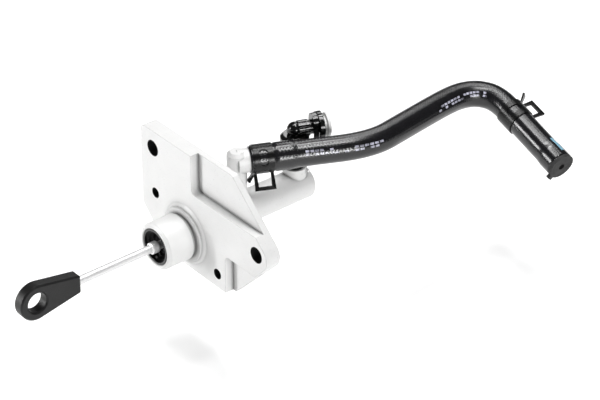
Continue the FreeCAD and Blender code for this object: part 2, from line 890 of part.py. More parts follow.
def build_return_spring():
    """A coil between the spring seat and the bore's end, bent from short straight runs of wire."""
    wire_radius = size("spring_wire_diameter") / 2
    start = size(spring_start()) + wire_radius
    height = size(BORE_END) - wire_radius - start
    radius = size("spring_mean_diameter") / 2
    runs = int(size("spring_turns") * size("spring_runs"))
    step = 2 * math.pi / size("spring_runs")
    points = [
        Vector(start + height * i / runs, radius * math.cos(step * i), radius * math.sin(step * i))
        for i in range(runs + 1)
    ]
    first = (points[1] - points[0]).normalize()
    side = first.cross(Vector(1, 0, 0)).normalize()
    over = first.cross(side)
    corners = [math.pi / 3 * k for k in range(7)]
    section = Part.makePolygon(
        [points[0] + side * wire_radius * math.cos(c) + over * wire_radius * math.sin(c) for c in corners]
    )
    spring = doc.addObject("Part::Feature", "return_spring")
    spring.Label = "return_spring"
    spring.Shape = Part.makePolygon(points).makePipeShell([section], True, False, 1)
    return spring


def build_nipple():
    """The nipple in the inlet boss, with a groove for its seal ring and a lead into the hose."""
    body = port_frame(new_body("inlet_nipple"), "inlet_along", "inlet_height", "port_angle")
    end = "inlet_spigot_length - inlet_socket_depth"
    outer = "inlet_socket_diameter / 2"
    groove_start = "inlet_seal_at - seal_wire_diameter / 2"
    groove_end = "inlet_seal_at + seal_wire_diameter / 2"
    tip = "inlet_spigot_length + nipple_reach"
    sketch = new_sketch(body, "XZ_Plane")
    outline(
        sketch,
        [
            (end, "nipple_bore_diameter / 2"),
            (end, outer),
            (groove_start, outer),
            (groove_start, f"{outer} - seal_wire_diameter"),
            (groove_end, f"{outer} - seal_wire_diameter"),
            (groove_end, outer),
            ("inlet_spigot_length", outer),
            ("inlet_spigot_length", "hose_bore_diameter / 2"),
            (f"{tip} - nipple_lead", "hose_bore_diameter / 2"),
            (tip, "hose_bore_diameter / 2 - nipple_lead / 2"),
            (tip, "nipple_bore_diameter / 2"),
        ],
    )
    revolve(body, sketch)
    cross = new_sketch(body, "XY_Plane")
    circle(cross, "0", "0", "inlet_well_diameter / 2")
    pocket(body, cross, "inlet_height")
    return body


def seal_ring(label, plane_role, axis, outer, place):
    """A square-cut rubber ring round one of its sketch's axes, seated under a wall of radius outer."""
    body = new_body(label)
    sketch = new_sketch(body, plane_role)
    low, high = f"{place} - seal_wire_diameter / 2", f"{place} + seal_wire_diameter / 2"
    inner = f"{outer} - seal_wire_diameter"
    if axis == "H_Axis":
        rectangle(sketch, low, high, inner, outer)
    else:
        rectangle(sketch, inner, outer, low, high)
    revolve(body, sketch, axis)
    return body


def build_seal_rings():
    inlet = seal_ring("inlet_seal", "XZ_Plane", "H_Axis", "inlet_socket_diameter / 2", "inlet_seal_at")
    port_frame(inlet, "inlet_along", "inlet_height", "port_angle")
    outlet = seal_ring("outlet_seal", "XZ_Plane", "V_Axis", "outlet_socket_diameter / 2", "elbow_seal_at")
    port_frame(outlet, OUTLET_ALONG, "0", "elbow_angle")
    return [inlet, outlet]


def tangent_path(points):
    """Straight runs joined by arcs that touch them, as one wire, and the arcs' radii."""
    edges, radii, here = [], [], points[0]
    for before, corner, after in zip(points, points[1:], points[2:]):
        back, on = before - corner, after - corner
        shorter = min(back.Length, on.Length)
        back.normalize()
        on.normalize()
        half_turn = (math.pi - back.getAngle(on)) / 2
        cut = 0.45 * shorter
        radius = cut / math.tan(half_turn)
        start, end = corner + back * cut, corner + on * cut
        inward = (back + on).normalize()
        middle = corner + inward * (math.hypot(radius, cut) - radius)
        edges.append(Part.LineSegment(here, start).toShape())
        edges.append(Part.Arc(start, middle, end).toShape())
        radii.append(radius)
        here = end
    edges.append(Part.LineSegment(here, points[-1]).toShape())
    return Part.Wire(edges), radii


def swept_round(path, radius, start, direction):
    section = Part.Wire(Part.makeCircle(radius, start, direction))
    return path.makePipeShell([section], True, False)


def swell(start, direction, radius, more, straight):
    """A coaxial sleeve that stands out from the hose by more, then fades back to it."""
    taper = size("swell_taper")
    sleeve = Part.makeCylinder(radius + more, straight, start, direction)
    fade_start = start + direction * straight
    fade = Part.makeCone(radius + more, radius + size("swell_edge"), taper, fade_start, direction)
    return sleeve.fuse(fade)


def build_hose():
    """The reservoir hose: a tube along its route, swollen behind its clamp and round its plug."""
    path, radii = tangent_path([Vector(*place) for place in HOSE_ROUTE])
    print("hose bend radii", [round(r, 1) for r in radii], "length", round(path.Length, 1))
    start, out = along_hose(path, path.Length)
    end, onward = along_hose(path, 0)
    outer_radius, inner_radius = size("hose_diameter") / 2, size("hose_bore_diameter") / 2
    outside = swept_round(path, outer_radius, start, out)
    expected = math.pi * outer_radius**2 * path.Length
    if abs(outside.Volume / expected - 1) > 0.01:
        raise RuntimeError("the hose's volume isn't its section times its length")
    swell_start, swell_end = size("near_swell_start"), size("near_swell_end")
    near = swell(start + out * swell_start, out, outer_radius, size("near_swell"), swell_end - swell_start)
    far = swell(end, onward * -1, outer_radius, size("end_swell"), size("end_swell_length"))
    bore = swept_round(path, inner_radius, start, out)
    hose = doc.addObject("Part::Feature", "reservoir_hose")
    hose.Label = "reservoir_hose"
    hose.Shape = outside.fuse([near, far]).removeSplitter().cut(bore)
    hose.Placement = Placement()
    return hose


def along_hose(path, distance):
    """The place on the hose's path, that far from its free end, and the direction to that end."""
    for edge in reversed(path.OrderedEdges):
        if distance <= edge.Length + 1e-6:
            parameter = edge.getParameterByLength(max(edge.Length - distance, 0))
            return edge.valueAt(parameter), edge.tangentAt(parameter).normalize()
        distance -= edge.Length
    raise RuntimeError("the hose is shorter than that")


def hose_clamp(label, inner, place, direction, roll, slot_turn):
    """A spring band clamp on the hose, whose direction is the clamp's own X axis. Its narrow tang
    points down before the clamp is rolled about the hose, and turns count from upwards."""
    body = new_body(label)
    outer = f"({inner} + clamp_thickness)"
    band = new_sketch(body, "YZ_Plane")
    circle(band, "0", "0", outer)
    circle(band, "0", "0", inner)
    pad(body, band, "clamp_width")
    cut_clamp_slot(body, outer, slot_turn)
    add_window_tang(body, inner, outer)
    add_narrow_tang(body, inner)
    turn = Rotation(direction, Vector(), Vector(0, 0, 1), "XZY") * Rotation(Vector(1, 0, 0), size(roll))
    body.Placement = Placement(place, turn)
    return body


def cut_clamp_slot(body, outer, slot_turn):
    """A round-ended slot in the band's middle, as long as a given part of a turn."""
    start = "(clamp_width - clamp_slot_width) / 2"
    wedge = new_sketch(body, "YZ_Plane", ("0", "0", start), slot_turn)
    side = f"2 * {outer} * sin(clamp_slot_turn / 2)"
    outline(
        wedge,
        [
            ("0", "0"),
            (f"-{side}", f"2 * {outer} * cos(clamp_slot_turn / 2)"),
            (side, f"2 * {outer} * cos(clamp_slot_turn / 2)"),
        ],
    )
    pocket(body, wedge, "clamp_slot_width", reverse=True)
    thick = size("clamp_thickness")

    def corner(edge):
        return isinstance(edge.Curve, Part.Line) and abs(edge.Length - thick) < 1e-4

    dress(body, "Fillet", corner, "clamp_slot_width / 2.2")


def add_window_tang(body, inner, outer):
    """The wide tang stands out from the band as an open frame: two side bars and an end bar."""
    root = f"{inner} + clamp_thickness / 2"
    tip = f"{outer} + window_tang_height"
    bars = [
        ("0", "window_bar", root),
        ("clamp_width - window_bar", "window_bar", root),
        ("0", "clamp_width", f"{tip} - window_bar"),
    ]
    for start, length, low in bars:
        bar = new_sketch(body, "YZ_Plane", ("0", "0", start), "window_tang_turn")
        rectangle(bar, "-clamp_thickness / 2", "clamp_thickness / 2", low, tip)
        pad(body, bar, length)


def add_narrow_tang(body, inner):
    """The narrow tang flares outwards from the band's first edge."""
    root_along = "clamp_thickness"
    root_out = f"({inner} + clamp_thickness / 4)"
    tip_along = f"{root_along} - narrow_tang_length * cos(narrow_tang_flare)"
    tip_out = f"{root_out} + narrow_tang_length * sin(narrow_tang_flare)"
    over_along = "clamp_thickness * sin(narrow_tang_flare)"
    over_out = "clamp_thickness * cos(narrow_tang_flare)"
    tang = new_sketch(body, "XZ_Plane")
    outline(
        tang,
        [
            (root_along, f"-{root_out}"),
            (tip_along, f"-({tip_out})"),
            (f"{tip_along} + {over_along}", f"-({tip_out} + {over_out})"),
            (f"{root_along} + {over_along}", f"-({root_out} + {over_out})"),
        ],
    )
    pad(body, tang, "narrow_tang_width", both_ways=True)


def rectangle(sketch, x_low, x_high, y_low, y_high):
    outline(sketch, [(x_low, y_low), (x_high, y_low), (x_high, y_high), (x_low, y_high)])


def build_clamps():
    path, _ = tangent_path([Vector(*place) for place in HOSE_ROUTE])
    inner = "(hose_diameter / 2 + clamp_clearance)"
    start, out = along_hose(path, path.Length)
    near_place = start + out * size("near_clamp_at")
    near = hose_clamp("near_hose_clamp", inner, near_place, out, "near_clamp_roll", "near_slot_turn")
    middle, down = along_hose(path, size("far_clamp_from_end"))
    far_place = middle - down * (size("clamp_width") / 2)
    far = hose_clamp("far_hose_clamp", inner, far_place, down, "far_clamp_roll", "far_slot_turn")
    return [near, far]


def build_hose_plug():
    """The shipping plug: a neck in the hose, a dimpled face and a pull tab."""
    body = new_body("hose_plug")
    sketch = new_sketch(body, "XZ_Plane")
    outline(
        sketch,
        [
            ("-plug_neck_length", "0"),
            ("-plug_neck_length", "hose_bore_diameter / 2 - nipple_lead"),
            ("nipple_lead - plug_neck_length", "hose_bore_diameter / 2"),
            ("0", "hose_bore_diameter / 2"),
            ("0", "plug_face_diameter / 2"),
            ("plug_face_thickness", "plug_face_diameter / 2"),
            ("plug_face_thickness", "plug_dimple_diameter / 2"),
            ("plug_face_thickness - plug_dimple_depth", "plug_dimple_diameter / 2"),
            ("plug_face_thickness - plug_dimple_depth", "0"),
        ],
    )
    revolve(body, sketch)
    tab = new_sketch(body, "YZ_Plane")
    rectangle(
        tab,
        "-plug_tab_reach",
        "-plug_face_diameter / 2 + 1",
        "-plug_tab_width / 2",
        "plug_tab_width / 2",
    )
    pad(body, tab, "plug_face_thickness")
    path, _ = tangent_path([Vector(*place) for place in HOSE_ROUTE])
    end, onward = along_hose(path, 0)
    roll = Rotation(Vector(1, 0, 0), size("plug_roll"))
    body.Placement = Placement(end, Rotation(onward, Vector(), Vector(0, 0, 1), "XZY") * roll)
    return body


def build_elbow():
    """The plastic elbow: foot, neck, shoulder, round knee, ribbed arm and flanged mouth."""
    body = port_frame(new_body("outlet_elbow"), OUTLET_ALONG, "0", "elbow_angle")
    riser = new_sketch(body, "XZ_Plane")
    foot = "elbow_foot_diameter / 2"
    seal_low = "elbow_seal_at - seal_wire_diameter / 2"
    seal_high = "elbow_seal_at + seal_wire_diameter / 2"
    seal_core = "outlet_socket_diameter / 2 - seal_wire_diameter"
    pin_low = "elbow_pin_height - elbow_pin_diameter / 2"
    pin_high = "elbow_pin_height + elbow_pin_diameter / 2"
    outline(
        riser,
        [
            ("0", "outlet_socket_floor"),
            (foot, "outlet_socket_floor"),
            (foot, seal_low),
            (seal_core, seal_low),
            (seal_core, seal_high),
            (foot, seal_high),
            (foot, pin_low),
            (f"{foot} - pin_groove_depth", pin_low),
            (f"{foot} - pin_groove_depth", pin_high),
            (foot, pin_high),
            (foot, "outlet_boss_top"),
            ("elbow_neck_diameter / 2", "outlet_boss_top"),
            ("elbow_neck_diameter / 2", "elbow_shoulder_bottom"),
            ("elbow_shoulder_diameter / 2", "elbow_shoulder_bottom"),
            ("elbow_shoulder_diameter / 2", "elbow_shoulder_top - end_chamfer"),
            ("elbow_shoulder_diameter / 2 - end_chamfer", "elbow_shoulder_top"),
            ("0", "elbow_shoulder_top"),
        ],
    )
    revolve(body, riser, axis="V_Axis")
    knee = new_sketch(body, "XZ_Plane", ("0", "elbow_height", "0"))
    outline(
        knee,
        [
            ("0", "-elbow_knee_diameter / 2", "elbow_knee_diameter / 2", "0"),
            ("elbow_knee_diameter / 2", "0", "elbow_knee_diameter / 2", "0"),
            ("0", "elbow_knee_diameter / 2"),
        ],
    )
    revolve(body, knee, axis="V_Axis")
    arm = new_sketch(body, "XZ_Plane", ("0", "elbow_height", "0"))
    mouth_end = "elbow_arm_length + elbow_mouth_thickness"
    outline(
        arm,
        [
            ("0", "0"),
            ("0", "elbow_arm_diameter / 2"),
            ("elbow_arm_length", "elbow_arm_diameter / 2"),
            ("elbow_arm_length", "elbow_mouth_diameter / 2"),
            (mouth_end, "elbow_mouth_diameter / 2"),
            (mouth_end, "0"),
        ],
    )
    revolve(body, arm)
    add_ribs(body)
    bores = new_sketch(body, "XZ_Plane", ("0", "elbow_height", "0"))
    outline(
        bores,
        [
            ("0", "0"),
            ("0", "elbow_bore_diameter / 2"),
            (mouth_end, "elbow_bore_diameter / 2"),
            (mouth_end, "0"),
        ],
    )
    revolve(body, bores, cut=True)
    down = new_sketch(body, "XY_Plane", ("0", "0", "elbow_height"))
    circle(down, "0", "0", "outlet_port_diameter / 2")
    pocket(body, down, "elbow_height")
    return body


def add_ribs(body):
    """Ribs along the arm, evenly round it."""
    rib = new_sketch(body, "YZ_Plane", ("0", "elbow_height", "rib_start"))
    rectangle(rib, "-rib_width / 2", "rib_width / 2", "0", "elbow_arm_diameter / 2 + rib_height")
    feature = pad(body, rib, "rib_length")
    pattern = body.newObject("PartDesign::PolarPattern", "outlet_elbow_ribs")
    pattern.Originals = [feature]
    pattern.Axis = (rib, ["N_Axis"])
    pattern.Angle = 360
    pattern.setExpression("Occurrences", bound("rib_count"))
    body.Tip = pattern
    settle(body, pattern)


def build_elbow_pin():
    pin = doc.addObject("Part::Cylinder", "elbow_pin")
    pin.Label = "elbow_pin"
    pin.setExpression("Radius", bound("elbow_pin_diameter / 2"))
    pin.setExpression("Height", bound("elbow_pin_length"))
    pin.Placement = Placement(Vector(0, 0, 0), Rotation(Vector(1, 0, 0), -90))
    pin.setExpression("Placement.Base.x", bound(pin_along()))
    pin.setExpression("Placement.Base.y", bound("-elbow_pin_length / 2"))
    pin.setExpression("Placement.Base.z", bound("elbow_pin_height"))
    return pin


def build_outlet_clip():
    """A U-shaped clip that sits astride the elbow's arm, behind its mouth."""
    body = port_frame(new_body("outlet_clip"), OUTLET_ALONG, "elbow_height", "elbow_angle")
    shape = new_sketch(body, "YZ_Plane", ("0", "0", "outlet_clip_start"))
    rectangle(
        shape,
        "-outlet_clip_half_width",
        "outlet_clip_half_width",
        "-outlet_clip_leg",
        "outlet_clip_height",
    )
    pad(body, shape, "outlet_clip_thickness")
    dress(body, "Fillet", lies_along(Vector(1, 0, 0), lambda p: p.z > 0), "outlet_clip_round")
    slot = new_sketch(body, "YZ_Plane", ("0", "0", "outlet_clip_start"))
    rectangle(
        slot,
        "-elbow_arm_diameter / 2 - side_clearance",
        "elbow_arm_diameter / 2 + side_clearance",
        "-2 * outlet_clip_leg",
        "0",
    )
    pocket(body, slot, "outlet_clip_thickness", reverse=True)
    crown = new_sketch(body, "YZ_Plane", ("0", "0", "outlet_clip_start"))
    circle(crown, "0", "0", "elbow_arm_diameter / 2 + side_clearance")
    pocket(body, crown, "outlet_clip_thickness", reverse=True)
    return body


def build_outlet_cap():
    """The white shipping plug in the elbow's mouth."""
    body = port_frame(new_body("outlet_cap"), OUTLET_ALONG, "elbow_height", "elbow_angle")
    mouth = "elbow_arm_length + elbow_mouth_thickness"
    sketch = new_sketch(body, "XZ_Plane")
    outline(
        sketch,
        [
            (f"{mouth} - cap_stub_depth", "0"),
            (f"{mouth} - cap_stub_depth", "elbow_bore_diameter / 2"),
            (mouth, "elbow_bore_diameter / 2"),
            (mouth, "cap_neck_diameter / 2"),
            (f"{mouth} + cap_neck_length", "cap_neck_diameter / 2"),
            (f"{mouth} + cap_neck_length", "cap_face_diameter / 2"),
            (f"{mouth} + cap_neck_length + cap_face_thickness", "cap_face_diameter / 2"),
            (f"{mouth} + cap_neck_length + cap_face_thickness", "0"),
        ],
    )
    revolve(body, sketch)
    return body


def build_all():
    return [
        build_cylinder(),
        build_push_rod(),
        build_rod_eye(),
        build_rod_guide(),
        build_snap_ring(),
        build_stop_washer(),
        build_piston(),
        build_ball_clip(),
        *build_seals(),
        build_spring_seat(),
        build_return_spring(),
        build_nipple(),
        *build_seal_rings(),
        build_hose(),
        *build_clamps(),
        build_hose_plug(),
        build_elbow(),
        build_elbow_pin(),
        build_outlet_clip(),
        build_outlet_cap(),
    ]


def check_and_save(pieces):
    doc.recompute()
    for item in doc.Objects:
        if "Invalid" in item.State or "Error" in item.State:
            raise RuntimeError(f"{item.Name} is {item.State}")
    os.makedirs("parts", exist_ok=True)
    for piece in pieces:
        shape = piece.Shape
        if shape.isNull() or not shape.isValid() or not shape.Solids:
            raise RuntimeError(f"{piece.Label} has no sound shape")
        shape.exportStep(f"parts/{piece.Label}.step")
        print(piece.Label, len(shape.Solids), round(shape.Volume, 1))


check_and_save(build_all())
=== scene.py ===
import json
import math

import bmesh
import bpy
from mathutils import Matrix, Vector


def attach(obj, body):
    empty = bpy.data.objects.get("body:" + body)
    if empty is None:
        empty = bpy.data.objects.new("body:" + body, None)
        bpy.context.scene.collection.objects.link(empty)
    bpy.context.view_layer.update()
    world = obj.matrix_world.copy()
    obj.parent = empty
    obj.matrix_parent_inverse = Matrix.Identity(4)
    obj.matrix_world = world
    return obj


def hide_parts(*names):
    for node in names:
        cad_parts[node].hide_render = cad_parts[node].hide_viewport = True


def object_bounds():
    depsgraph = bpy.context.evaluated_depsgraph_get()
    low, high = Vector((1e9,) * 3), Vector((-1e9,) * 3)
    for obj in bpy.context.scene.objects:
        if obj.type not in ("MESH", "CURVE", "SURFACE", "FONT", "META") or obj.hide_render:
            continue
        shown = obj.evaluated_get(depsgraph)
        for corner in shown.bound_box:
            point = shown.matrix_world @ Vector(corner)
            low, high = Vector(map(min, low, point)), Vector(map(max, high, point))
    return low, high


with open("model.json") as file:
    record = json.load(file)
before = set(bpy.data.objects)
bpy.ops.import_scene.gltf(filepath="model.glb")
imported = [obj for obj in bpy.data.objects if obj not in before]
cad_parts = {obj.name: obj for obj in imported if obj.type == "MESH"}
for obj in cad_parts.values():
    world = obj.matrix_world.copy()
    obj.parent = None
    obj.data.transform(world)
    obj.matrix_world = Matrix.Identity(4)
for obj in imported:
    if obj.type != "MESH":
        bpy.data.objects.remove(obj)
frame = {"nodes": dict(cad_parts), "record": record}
cad_low, cad_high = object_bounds()
nodes = frame["nodes"]

MM = 0.001

# Camera: the photograph's viewing angle, with the object's origin left of the picture's middle.
CAMERA_AZIMUTH = math.radians(-39.5)
CAMERA_ELEVATION = math.radians(33)
CAMERA_DISTANCE = 1.6
CAMERA_ASIDE = 0.0705
CAMERA_ABOVE = 0.0205
CAMERA_LENS = 154.8
SENSOR = 36

# Hose: the CAD tube's route and sizes. Places along it are in metres from the cylinder, and those of
# the end's swell are in metres from the far end.
HOSE_ROUTE_MM = [
    (47.6, -3.4, 36.2),
    (79.3, -18.6, 36.2),
    (118.0, -38.0, 36.2),
    (149.7, -33.8, 36.2),
    (172.6, -30.8, 36.2),
    (188.4, -29.0, 36.2),
    (201.8, -28.8, 36.2),
    (213.2, -33.8, 36.0),
    (220.4, -44.6, 34.2),
    (219.6, -65.0, 27.8),
    (218.2, -86.2, 21.5),
    (216.6, -107.0, 15.5),
]
HOSE_LENGTH = 0.2515
HOSE_RADIUS = 0.0086
NEAR_SWELL = 0.0006
NEAR_SWELL_RISE = (0.0150, 0.0165)
NEAR_SWELL_FALL = (0.0255, 0.0310)
END_SWELL = 0.0004
END_SWELL_RISE = (0.0140, 0.0090)
BRAID_PITCH = 0.0042
BRAID_STRANDS = 12
BRAID_SHOWS_TO = 0.195
HOSE_SIDES = 64
RING_STEP = 0.0012

# Clamps: how far from the hose's middle their tangs start, and how much thicker these are.
CLAMP_REACH = 0.0102
CLAMP_ROLL = 0.0005

# Printed marks on the hose: where each row starts and ends, and how far round it lies at each end.
MARK_PITCH = 0.0031
MARK_HALF_HEIGHT = 12
MARK_ROWS = [(0.034, 0.0835, 60, 71), (0.1335, 0.1805, 64, 58)]
PAINT_MARK = (0.2355, 0.2475, 338, 357)

# Casting, along its axis: the groove at the nose's root, which gets painted shade, where the lathe marks
# start and their pitch.
GROOVE = (-0.0044, -0.0037)
TURNED_TO = -0.0017
LATHE_PITCH = 0.00045

# Bolt holes in the flange: across, up and radius.
BOLT_HOLES_MM = [
    (32.4, 46.5, 5.35),
    (-69.6, 19.8, 5.35),
    (31.0, 14.32, 3.45),
    (-31.0, -14.32, 3.45),
]
FLOOR_DROP = 0.05


def back_direction():
    """From the object towards the camera."""
    return Vector(
        (
            math.sin(CAMERA_AZIMUTH) * math.cos(CAMERA_ELEVATION),
            -math.cos(CAMERA_AZIMUTH) * math.cos(CAMERA_ELEVATION),
            math.sin(CAMERA_ELEVATION),
        )
    )


def add_camera():
    back = back_direction()
    right = Vector((math.cos(CAMERA_AZIMUTH), math.sin(CAMERA_AZIMUTH), 0))
    up = back.cross(right)
    data = bpy.data.cameras.new("camera")
    data.lens = CAMERA_LENS
    data.sensor_width = SENSOR
    data.clip_start, data.clip_end = 0.05, 30
    camera = bpy.data.objects.new("camera", data)
    camera.rotation_mode = "QUATERNION"
    camera.rotation_quaternion = (-back).to_track_quat("-Z", "Y")
    camera.location = back * CAMERA_DISTANCE + right * CAMERA_ASIDE + up * CAMERA_ABOVE
    bpy.context.scene.collection.objects.link(camera)
    bpy.context.scene.camera = camera


def node(tree, kind, inputs=None, **options):
    """Adds a shader node. Inputs are values, or sockets to link."""
    made = tree.nodes.new("ShaderNode" + kind)
    for key, value in options.items():
        setattr(made, key, value)
    for key, value in (inputs or {}).items():
        if isinstance(value, bpy.types.NodeSocket):
            tree.links.new(value, made.inputs[key])
        else:
            made.inputs[key].default_value = value
    return made


def maths(tree, operation, *values):
    made = node(tree, "Math", operation=operation)
    for i, value in enumerate(values):
        if isinstance(value, bpy.types.NodeSocket):
            tree.links.new(value, made.inputs[i])
        else:
            made.inputs[i].default_value = value
    return made.outputs[0]


def spread(tree, value, low, high):
    """Maps a 0 to 1 value to low to high."""
    made = node(tree, "MapRange", {"Value": value, "To Min": low, "To Max": high})
    return made.outputs["Result"]


def noise(tree, coords, scale, detail=3.0, roughness=0.55):
    made = node(
        tree, "TexNoise", {"Vector": coords, "Scale": scale, "Detail": detail, "Roughness": roughness}
    )
    return made.outputs["Fac"]


def blend_colours(tree, factor, first, second):
    made = node(tree, "Mix", data_type="RGBA")
    for socket, value in ((made.inputs[0], factor), (made.inputs[6], first), (made.inputs[7], second)):
        if isinstance(value, bpy.types.NodeSocket):
            tree.links.new(value, socket)
        elif isinstance(value, tuple):
            socket.default_value = (*value, 1)
        else:
            socket.default_value = value
    return made.outputs[2]


def bump(tree, height, distance, strength=1.0, normal=None):
    inputs = {"Height": height, "Distance": distance, "Strength": strength}
    if normal is not None:
        inputs["Normal"] = normal
    return node(tree, "Bump", inputs).outputs["Normal"]


def soft_edges(tree, radius):
    """Normals as if the edges were slightly rounded."""
    return node(tree, "Bevel", {"Radius": radius}, samples=4).outputs["Normal"]


def new_material(name, metallic=0.0, specular=0.5):
    """A material, its tree, its shader and the object's own coordinates in metres."""
    material = bpy.data.materials.new(name)
    material.use_nodes = True
    tree = material.node_tree
    shader = tree.nodes["Principled BSDF"]
    shader.inputs["Metallic"].default_value = metallic
    shader.inputs["Specular IOR Level"].default_value = specular
    coords = node(tree, "TexCoord").outputs["Object"]
    return material, tree, shader, coords


def plug_in(tree, shader, **sockets):
    names = {"colour": "Base Color", "roughness": "Roughness", "normal": "Normal"}
    for key, value in sockets.items():
        tree.links.new(value, shader.inputs[names[key]])


def worn_material(name, colours, roughness, grain, metallic=0.0, specular=0.5):
    """A surface whose colour and gloss vary softly, over a fine grain. Roughness is (low, high) and
    grain is (scale, depth in metres)."""
    material, tree, shader, coords = new_material(name, metallic, specular)
    patches = noise(tree, coords, 90, 4)
    fine = noise(tree, coords, grain[0], 2)
    plug_in(
        tree,
        shader,
        colour=blend_colours(tree, patches, *colours),
        roughness=spread(tree, noise(tree, coords, 240, 3), *roughness),
        normal=bump(tree, fine, grain[1], normal=soft_edges(tree, 0.0003)),
    )
    return material


def edge_line(tree, radius):
    """0 on flat surfaces, rising to 1 on sharp edges."""
    flat = node(tree, "NewGeometry").outputs["Normal"]
    turned = node(tree, "VectorMath", {0: soft_edges(tree, radius), 1: flat}, operation="DOT_PRODUCT")
    return node(
        tree, "MapRange", {"Value": turned.outputs["Value"], "From Min": 0.98, "From Max": 0.85}
    ).outputs["Result"]


def within(tree, value, low, high):
    """1 where a value lies between low and high."""
    above = maths(tree, "GREATER_THAN", value, low)
    return maths(tree, "MULTIPLY", above, maths(tree, "LESS_THAN", value, high))


def shaded_bolt_hole_walls(tree, place):
    """1 on the walls of the flange's bolt holes, where shade is painted near-black."""
    flat = node(tree, "CombineXYZ", {"Y": place.outputs["Y"], "Z": place.outputs["Z"]}).outputs[0]
    walls = 0.0
    for across, up, radius in BOLT_HOLES_MM:
        centre = Vector((0, across, up)) * MM
        away = node(tree, "VectorMath", {0: flat, 1: centre}, operation="DISTANCE").outputs["Value"]
        walls = maths(tree, "MAXIMUM", walls, maths(tree, "LESS_THAN", away, (radius + 0.1) * MM))
    return walls


def aluminium():
    """Fine cast grain, lathe marks on the turned nose, painted shade in the creases, corners and the
    groove, painted shade lines along sharp edges and painted shade on the bolt-hole walls.
    """
    material, tree, shader, coords = new_material("cast_aluminium", metallic=0.15, specular=0.35)
    patches = noise(tree, coords, 70, 5)
    fine = noise(tree, coords, 1500, 4, 0.65)
    colour = blend_colours(tree, patches, (0.8, 0.8, 0.795), (0.88, 0.88, 0.875))
    specks = maths(tree, "GREATER_THAN", noise(tree, coords, 1100, 1), 0.71)
    colour = blend_colours(tree, maths(tree, "MULTIPLY", specks, 0.3), colour, (0.4, 0.4, 0.4))
    place = node(tree, "SeparateXYZ", {"Vector": coords})
    # Painted shade: grey in creases, where other surfaces lie within 6 mm.
    crease_shade = node(tree, "AmbientOcclusion", {"Distance": 0.006}, samples=8).outputs["AO"]
    crease_shade = spread(tree, maths(tree, "POWER", crease_shade, 1.5), 0.5, 0.0)
    colour = blend_colours(tree, crease_shade, colour, (0.2, 0.2, 0.2))
    # Painted shade: near-black in tight corners and narrow gaps, where other surfaces lie within 2.2 mm.
    corner = node(tree, "AmbientOcclusion", {"Distance": 0.0022}, samples=8).outputs["AO"]
    corner = spread(tree, maths(tree, "POWER", corner, 2.0), 0.8, 0.0)
    colour = blend_colours(tree, corner, colour, (0.05, 0.05, 0.05))
    # Painted shade: a dark band across the span along the axis that holds the groove at the nose's root.
    groove = maths(tree, "MULTIPLY", within(tree, place.outputs["X"], *GROOVE), 0.6)
    colour = blend_colours(tree, groove, colour, (0.06, 0.06, 0.06))
    # Painted shade: grey lines along sharp edges, stronger in places.
    edge_shade_lines = maths(tree, "MULTIPLY", edge_line(tree, 0.0005), spread(tree, patches, 0.1, 0.9))
    colour = blend_colours(tree, edge_shade_lines, colour, (0.25, 0.25, 0.25))
    # Painted shade: the bolt holes' walls near-black.
    colour = blend_colours(tree, shaded_bolt_hole_walls(tree, place), colour, (0.012, 0.012, 0.012))
    turned = maths(tree, "LESS_THAN", place.outputs["X"], TURNED_TO)
    lathe = maths(tree, "SINE", maths(tree, "MULTIPLY", place.outputs["X"], 2 * math.pi / LATHE_PITCH))
    rough = bump(tree, fine, 0.00009, 0.6, soft_edges(tree, 0.0006))
    marks = bump(tree, maths(tree, "MULTIPLY", lathe, turned), 0.000012, 0.8, rough)
    plug_in(tree, shader, colour=colour, roughness=spread(tree, fine, 0.36, 0.6), normal=marks)
    return material


def printed_marks(tree, along, around, patches):
    """Rows of small plain dashes in two lines, with gaps, worn in places."""
    cells = maths(tree, "DIVIDE", along, MARK_PITCH)
    chance = node(
        tree, "TexWhiteNoise", {"W": maths(tree, "FLOOR", cells)}, noise_dimensions="1D"
    ).outputs["Value"]
    across = maths(tree, "ABSOLUTE", maths(tree, "SUBTRACT", maths(tree, "FRACT", cells), 0.5))
    long = maths(tree, "LESS_THAN", across, 0.38)
    rows = 0.0
    for start, end, turn, end_turn in MARK_ROWS:
        share = maths(tree, "DIVIDE", maths(tree, "SUBTRACT", along, start), end - start)
        middle = spread(tree, share, math.radians(turn), math.radians(end_turn))
        height = maths(tree, "SUBTRACT", around, middle)
        height = maths(tree, "DIVIDE", height, math.radians(MARK_HALF_HEIGHT))
        upper = maths(tree, "MULTIPLY", within(tree, height, -0.95, -0.2), within(tree, chance, 0.1, 0.8))
        lower = maths(tree, "MULTIPLY", within(tree, height, 0.2, 0.95), within(tree, chance, 0.3, 1))
        dashes = maths(tree, "MULTIPLY", maths(tree, "ADD", upper, lower), long)
        row = maths(tree, "MULTIPLY", dashes, within(tree, along, start, end))
        rows = maths(tree, "MAXIMUM", rows, row)
    return maths(tree, "MULTIPLY", rows, spread(tree, patches, -0.6, 1.9))


